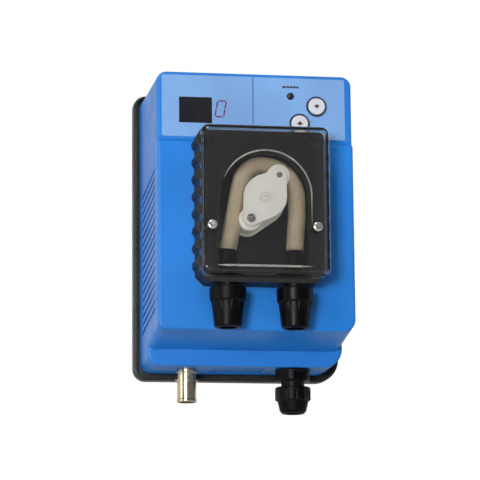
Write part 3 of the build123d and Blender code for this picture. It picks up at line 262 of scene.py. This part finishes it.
def circuit_board(name):
    """Solder resist with copper tracks showing through as a paler green net."""
    shader = Shader(name)
    brick = shader.node("ShaderNodeTexBrick")
    brick.inputs["Scale"].default_value = 260
    brick.inputs["Mortar Size"].default_value = 0.03
    brick.inputs["Color1"].default_value = srgb(18, 84, 44)
    brick.inputs["Color2"].default_value = srgb(22, 96, 50)
    brick.inputs["Mortar"].default_value = srgb(60, 140, 70)
    swap = shader.node("ShaderNodeMapping")
    swap.inputs["Rotation"].default_value = (math.pi / 2, 0, 0)
    shader.link(shader.place, swap.inputs["Vector"])
    shader.link(swap.outputs["Vector"], brick.inputs["Vector"])
    patchy = shader.remap(shader.noise(30), 0.4, 0.6, 0, 0.3)
    shader.colour(shader.mix(patchy, brick.outputs["Color"], srgb(12, 60, 30)))
    shader.roughness(shader.remap(shader.noise(400), 0.3, 0.7, 0.25, 0.4))
    shader.bump([(brick.outputs["Fac"], 0.3, 0.00004)])
    return shader


def wound_tape(name, colour):
    """Insulating tape wound round a coil, its turns showing as faint ridges."""
    shader = Shader(name)
    wave = shader.node("ShaderNodeTexWave", wave_type="BANDS", bands_direction="Y")
    wave.inputs["Scale"].default_value = 160
    wave.inputs["Distortion"].default_value = 1.5
    shader.link(shader.place, wave.inputs["Vector"])
    turns = wave.outputs["Fac"]
    shader.colour(shader.mix(shader.remap(turns, 0, 1, 0, 0.5), colour, shade(colour, 0.65)))
    shader.roughness(shader.remap(shader.noise(300), 0.3, 0.7, 0.3, 0.45))
    shader.bump([(turns, 0.3, 0.00012)])
    return shader


def lit_segment(name, colour):
    """Lit display segment: glowing colour with a slightly uneven lamp behind it."""
    shader = Shader(name)
    glow = shader.noise(900, detail=2)
    shade_of_glow = shader.mix(shader.remap(glow, 0.3, 0.7, 0, 1), shade(colour, 0.8), colour)
    shader.colour(shade_of_glow)
    shader.link(shade_of_glow, shader.surface.inputs["Emission Color"])
    shader.set(Emission_Strength=0.5, Roughness=0.3)
    shader.bump([(shader.noise(2600), 0.08, 0.00003)])
    return shader


BLUE, LIGHT_BLUE = srgb(24, 114, 198), srgb(113, 154, 205)
CREAM, TAN = srgb(255, 252, 242), srgb(188, 174, 148)
NICKEL, STEEL, BRONZE = srgb(204, 190, 162), srgb(176, 176, 174), srgb(186, 146, 92)

# colour and the options of moulded_plastic for each slot
PLASTICS = {
    "blue_abs": (BLUE, dict(rough=0.38, grain=0.3, dust=0.03, wear=0.2, gloss=0.3)),
    "black_abs": (srgb(14, 15, 18), dict(rough=0.36, grain=0.3, dust=0.06, gloss=0.4)),
    "black_head": (srgb(15, 16, 18), dict(rough=0.5, grain=0.5, dust=0.06, gloss=0.25)),
    "black_fitting": (srgb(3, 3, 5), dict(rough=0.36, grain=0.25, dust=0.02, wear=0.08, gloss=0.1)),
    "black_rubber": (srgb(16, 16, 17), dict(rough=0.62, grain=0.6, dust=0.15, wear=0.08)),
    "label_film": (LIGHT_BLUE, dict(rough=0.34, grain=0.12, dust=0.03, edge=0.0002, gloss=0.4)),
    "smoked_window": (srgb(12, 12, 22), dict(rough=0.36, grain=0.05, dust=0.03, gloss=0.25)),
    "blue_ring": (srgb(12, 26, 58), dict(rough=0.35, grain=0.15, edge=0.0003)),
    "white_button": (srgb(192, 195, 202), dict(rough=0.42, grain=0.2, dust=0.12)),
    "led_red": (srgb(26, 20, 34), dict(rough=0.14, grain=0.02, dust=0.05)),
    "green_terminal": (srgb(30, 118, 58), dict(rough=0.4)),
    "print_ink": (srgb(22, 30, 52), dict(rough=0.5, grain=0.2, dust=0.02, edge=0.00005)),
    "divider_ink": (srgb(60, 104, 170), dict(rough=0.4, grain=0.2, dust=0.02, edge=0.00005)),
    "symbol_ink": (srgb(66, 30, 34), dict(rough=0.5, grain=0.2, dust=0.02, edge=0.00005)),
}
FINISHES = {
    slot: moulded_plastic(slot, colour, **options) for slot, (colour, options) in PLASTICS.items()
}
FINISHES |= {
    "red_segment": lit_segment("red_segment", srgb(92, 20, 66)),
    "circuit_board": circuit_board("circuit_board"),
    "white_nylon": cream_plastic("white_nylon", srgb(228, 226, 216)),
    "coil_tape": wound_tape("coil_tape", srgb(206, 170, 60)),
    "fuse_glass": clear_plastic("fuse_glass", (0.95, 0.97, 0.96, 1.0)),
    "zinc": plain_metal("zinc", srgb(186, 188, 186), rough=0.38, lines=0.2),
    "bronze": plain_metal("bronze", BRONZE, rough=0.4, lines=0.3),
    "steel": plain_metal("steel", STEEL, rough=0.28, lines=0.2),
    "chrome_steel": plain_metal("chrome_steel", srgb(220, 220, 218), rough=0.16, lines=0.1),
    "nickel": plain_metal("nickel", NICKEL, rough=0.2, lines=0.3, stretch=(0.1, 0.1, 1), scale=3000),
    "clear_cover": clear_plastic("clear_cover", (1.0, 0.99, 0.98, 1.0)),
    "cream_acetal": cream_plastic("cream_acetal", CREAM),
    "tan_tube": soft_tube("tan_tube", TAN),
    "black_steel": plain_metal("black_steel", srgb(52, 52, 54), rough=0.42, lines=0.2),
    # milky white bead colour: painted highlight lines inside the clear cover
    "bead_painted_highlight": clear_bead("bead_painted_highlight", srgb(246, 243, 238)),
}


def node_object(name):
    """The Blender object that carries a CAD node."""
    return bpy.data.objects[name]


SLOT_OF = {row["node"]: row["material_slot"] for row in frame["record"]["subparts"]}
for node_name, slot_name in SLOT_OF.items():
    carried = node_object(node_name)
    carried.data.materials.clear()
    carried.data.materials.append(FINISHES[slot_name].material)


# ---------------------------------------------------------------- printed marks
PRINT_THICK, PRINT_EDGE, PRINT_SINK = 0.05 * MM, 0.02 * MM, 0.01 * MM


def mesh_object(name, mesh, finish):
    """Object made from a bmesh, with one finish."""
    data = bpy.data.meshes.new(name)
    mesh.to_mesh(data)
    mesh.free()
    piece = bpy.data.objects.new(name, data)
    bpy.context.collection.objects.link(piece)
    data.materials.append(FINISHES[finish].material)
    return piece


def printed(name, body, front, outlines, ink):
    """Thin raised print: each outline is a list of (x, z) in metres, lying at this front plane."""
    mesh = bmesh.new()
    for outline in outlines:
        ring = [mesh.verts.new((x, front, z)) for x, z in outline]
        mesh.faces.new(ring)
    bmesh.ops.recalc_face_normals(mesh, faces=mesh.faces)
    grown = bmesh.ops.extrude_face_region(mesh, geom=list(mesh.faces))
    raised = [item for item in grown["geom"] if isinstance(item, bmesh.types.BMVert)]
    bmesh.ops.translate(mesh, verts=raised, vec=(0, -PRINT_THICK, 0))
    bmesh.ops.recalc_face_normals(mesh, faces=mesh.faces)
    piece = mesh_object(name, mesh, ink)
    rounding = piece.modifiers.new("rounding", "BEVEL")
    rounding.width, rounding.segments = PRINT_EDGE, 2
    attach(piece, body)


# tip and right side of a wide arrow with a short stem, in units of half its nominal size
ARROW_TIP, ARROW_HALF = 0.8, 1.9 * MM
ARROW_SIDE = [(1.4, -0.1), (0.5, -0.1), (0.5, -0.7)]


def arrow_outline(middle_x, middle_z, direction):
    """Wide arrow with a short stem, pointing up (1) or down (-1)."""
    rows = [(0.0, ARROW_TIP)] + ARROW_SIDE + [(-across, rise) for across, rise in reversed(ARROW_SIDE)]
    tall = direction * ARROW_HALF
    return [(middle_x + across * ARROW_HALF, middle_z + rise * tall) for across, rise in rows]


def add_button_arrow(button, direction):
    low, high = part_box(button)
    middle_x, middle_z = (low[0] + high[0]) / 2, (low[2] + high[2]) / 2
    arrow = arrow_outline(middle_x, middle_z, direction)
    printed(button + "_arrow", button, low[1] + PRINT_SINK, [arrow], "symbol_ink")


add_button_arrow("button_up", 1)
add_button_arrow("button_down", -1)


def rectangle(left, right, low, high):
    """Corners of an upright rectangle in the X-Z plane."""
    return [(left, low), (right, low), (right, high), (left, high)]


# a short row of dashes over the status lamp, in place of its caption
DASHES = ((-4.4, 2.6), (-1.8, 1.9), (0.6, 2.2), (3.0, 1.8), (5.0, 1.5))
DASH_HIGH, DASH_RISE = 1.4 * MM, 3.3 * MM
lamp_low, lamp_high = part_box("status_led")
label_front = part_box("label_panel")[0][1]
dash_z, dash_middle = lamp_high[2] + DASH_RISE, (lamp_low[0] + lamp_high[0]) / 2
dashes = []
for place, length in DASHES:
    left, right = dash_middle + (place - length / 2) * MM, dash_middle + (place + length / 2) * MM
    dashes.append(rectangle(left, right, dash_z, dash_z + DASH_HIGH))
printed("lamp_caption", "case", label_front + PRINT_SINK, dashes, "print_ink")

# painted line in the groove that divides the label
GROOVE_X, LINE_HALF, LINE_END, GROOVE_DEEP = -1.2 * MM, 0.39 * MM, 0.1 * MM, 0.29 * MM
label_low, label_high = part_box("label_panel")
groove_line = rectangle(
    GROOVE_X - LINE_HALF, GROOVE_X + LINE_HALF, label_low[2] + LINE_END, label_high[2] - LINE_END
)
printed("label_divider", "case", label_front + GROOVE_DEEP, [groove_line], "divider_ink")


# ---------------------------------------------------------------- beads inside the clear cover, milky white as painted highlights
COVER_WALL, BEAD_GAP = 2.5 * MM, 0.02 * MM
BEAD_SIDES, BEAD_FLAT = 8, 0.6
BEAD_TIP, BEAD_TAPER = 0.25, 0.12


def bead(name, points, radius):
    """Half-round bead along (x, z) points on the cover's inner face, tapering at its ends."""
    cover_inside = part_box("pump_cover")[0][1] + COVER_WALL
    last = len(points) - 1
    mesh = bmesh.new()
    rings = []
    for index, (x, z) in enumerate(points):
        before, after = points[max(index - 1, 0)], points[min(index + 1, last)]
        along = Vector((after[0] - before[0], 0, after[1] - before[1])).normalized()
        across = Vector((along.z, 0, -along.x))
        end_share = min(index, last - index) / (BEAD_TAPER * last)
        size = radius * (BEAD_TIP + (1 - BEAD_TIP) * min(1.0, end_share))
        centre = Vector((x, cover_inside + BEAD_GAP, z))
        ring = []
        for step in range(BEAD_SIDES):
            turn = math.pi * step / (BEAD_SIDES - 1)
            inward = Vector((0, math.sin(turn) * size * BEAD_FLAT, 0))
            ring.append(mesh.verts.new(centre + across * math.cos(turn) * size + inward))
        rings.append(ring)
    for first, second in zip(rings, rings[1:]):
        for step in range(BEAD_SIDES):
            following = (step + 1) % BEAD_SIDES
            mesh.faces.new((first[step], first[following], second[following], second[step]))
    mesh.faces.new(rings[0])
    mesh.faces.new(list(reversed(rings[-1])))
    bmesh.ops.recalc_face_normals(mesh, faces=mesh.faces)
    for face in mesh.faces:
        face.smooth = len(face.verts) == 4
    piece = mesh_object(name, mesh, "bead_painted_highlight")
    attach(piece, "case")


# one bead over the rotor's track and down its right side, one along the cover's lower edge; both are
# painted highlight lines for the bright track rim and the bright lower edge of the cover
TRACK_X, TRACK_Z, TRACK_R = 1.5 * MM, 7.5 * MM, 31.0 * MM
ARC_DEGREES, ARC_STEPS = 158, 64
track_bead = []
for step in range(ARC_STEPS + 1):
    turn = math.radians(ARC_DEGREES * (1 - step / ARC_STEPS))
    track_bead.append((TRACK_X + TRACK_R * math.cos(turn), TRACK_Z + TRACK_R * math.sin(turn)))
track_bead += [(TRACK_X + TRACK_R, TRACK_Z - drop * MM) for drop in range(2, 21, 3)]
lower_bead = [(x * MM, -41.0 * MM) for x in range(-32, 33, 2)]
bead("cover_track_bead", track_bead, 0.55 * MM)
bead("cover_lower_bead", lower_bead, 0.8 * MM)


# ---------------------------------------------------------------- stage, lights and camera
def add_floor():
    half, drop = 8.0, -0.5
    mesh = bpy.data.meshes.new("floor")
    corners = [(-half, -half, drop), (half, -half, drop), (half, half, drop), (-half, half, drop)]
    mesh.from_pydata(corners, [], [(0, 1, 2, 3)])
    floor = bpy.data.objects.new("floor", mesh)
    bpy.context.collection.objects.link(floor)
    paint = Shader("floor_paint")
    cloudy = paint.remap(paint.noise(3), 0.4, 0.6, 0, 1)
    paint.colour(paint.mix(cloudy, srgb(222, 222, 220), srgb(224, 224, 222)))
    paint.set(Roughness=0.7)
    floor.data.materials.append(paint.material)


def add_softbox(name, place, target, size, power, spread):
    light = bpy.data.lights.new(name, "AREA")
    light.shape, light.size, light.energy = "SQUARE", size, power
    light.spread = math.radians(spread)
    lamp = bpy.data.objects.new(name, light)
    lamp.location = place
    lamp.rotation_euler = (Vector(target) - Vector(place)).to_track_quat("-Z", "Y").to_euler()
    lamp.visible_camera = False
    bpy.context.collection.objects.link(lamp)


def add_camera(azimuth, elevation, roll, distance, target, field_width):
    """Camera on the given bearing; azimuth 0 looks along +Y and a negative elevation looks up."""
    bearing, climb, lean = math.radians(azimuth), math.radians(elevation), math.radians(roll)
    outward = math.cos(climb)
    ahead = Vector((-math.sin(bearing) * outward, math.cos(bearing) * outward, -math.sin(climb)))
    level = Vector((math.cos(bearing), math.sin(bearing), 0))
    upright = level.cross(ahead)
    right = level * math.cos(lean) + upright * math.sin(lean)
    up = upright * math.cos(lean) - level * math.sin(lean)
    lens = bpy.data.cameras.new("camera")
    lens.sensor_width = 36.0
    lens.lens = lens.sensor_width * distance / field_width
    lens.clip_end = 30.0
    camera = bpy.data.objects.new("camera", lens)
    turn = Matrix((right, up, -ahead)).transposed().to_4x4()
    camera.matrix_world = Matrix.Translation(Vector(target) - ahead * distance) @ turn
    bpy.context.collection.objects.link(camera)
    bpy.context.scene.camera = camera


def add_world():
    """Plain white behind the object; softer, dimmer light from the front half than from behind."""
    world = bpy.data.worlds.new("studio")
    bpy.context.scene.world = world
    world.use_nodes = True
    tree = world.node_tree
    tree.nodes.clear()
    place = tree.nodes.new("ShaderNodeTexCoord")
    parts = tree.nodes.new("ShaderNodeSeparateXYZ")
    amount = tree.nodes.new("ShaderNodeMapRange")
    for key, number in zip(RANGE_SOCKETS, (-0.3, 0.4, 0.2, 0.85)):
        amount.inputs[key].default_value = number
    lighting, white = tree.nodes.new("ShaderNodeBackground"), tree.nodes.new("ShaderNodeBackground")
    rays, mix = tree.nodes.new("ShaderNodeLightPath"), tree.nodes.new("ShaderNodeMixShader")
    output = tree.nodes.new("ShaderNodeOutputWorld")
    tree.links.new(place.outputs["Generated"], parts.inputs["Vector"])
    tree.links.new(parts.outputs["Y"], amount.inputs["Value"])
    tree.links.new(amount.outputs["Result"], lighting.inputs["Strength"])
    for background in (lighting, white):
        background.inputs["Color"].default_value = (1, 1, 1, 1)
    tree.links.new(rays.outputs["Is Camera Ray"], mix.inputs["Fac"])
    tree.links.new(lighting.outputs["Background"], mix.inputs[1])
    tree.links.new(white.outputs["Background"], mix.inputs[2])
    tree.links.new(mix.outputs["Shader"], output.inputs["Surface"])


# name, place, width in metres, power in watts and beam in degrees of each softbox
SOFTBOXES = (
    ("key", (-0.35, -1.35, 1.15), 0.8, 10.5, 180),
    ("low", (-0.7, -1.8, -0.05), 0.4, 2.75, 60),
    ("side", (-1.5, -0.4, 0.1), 0.7, 3.4, 180),
)
LIT_POINT = (0.0, -0.06, 0.0)
BEARING, CLIMB, ROLL = -9.5, -10.7, -0.5
CAMERA_DISTANCE, FIELD_WIDTH = 1.8, 0.3375
CAMERA_TARGET = (-0.00375, -0.05, -0.0087)

add_floor()
add_world()
for name, place, size, power, spread in SOFTBOXES:
    add_softbox(name, place, LIT_POINT, size, power, spread)
bpy.context.scene.view_settings.view_transform = "Standard"
add_camera(BEARING, CLIMB, ROLL, CAMERA_DISTANCE, CAMERA_TARGET, FIELD_WIDTH)
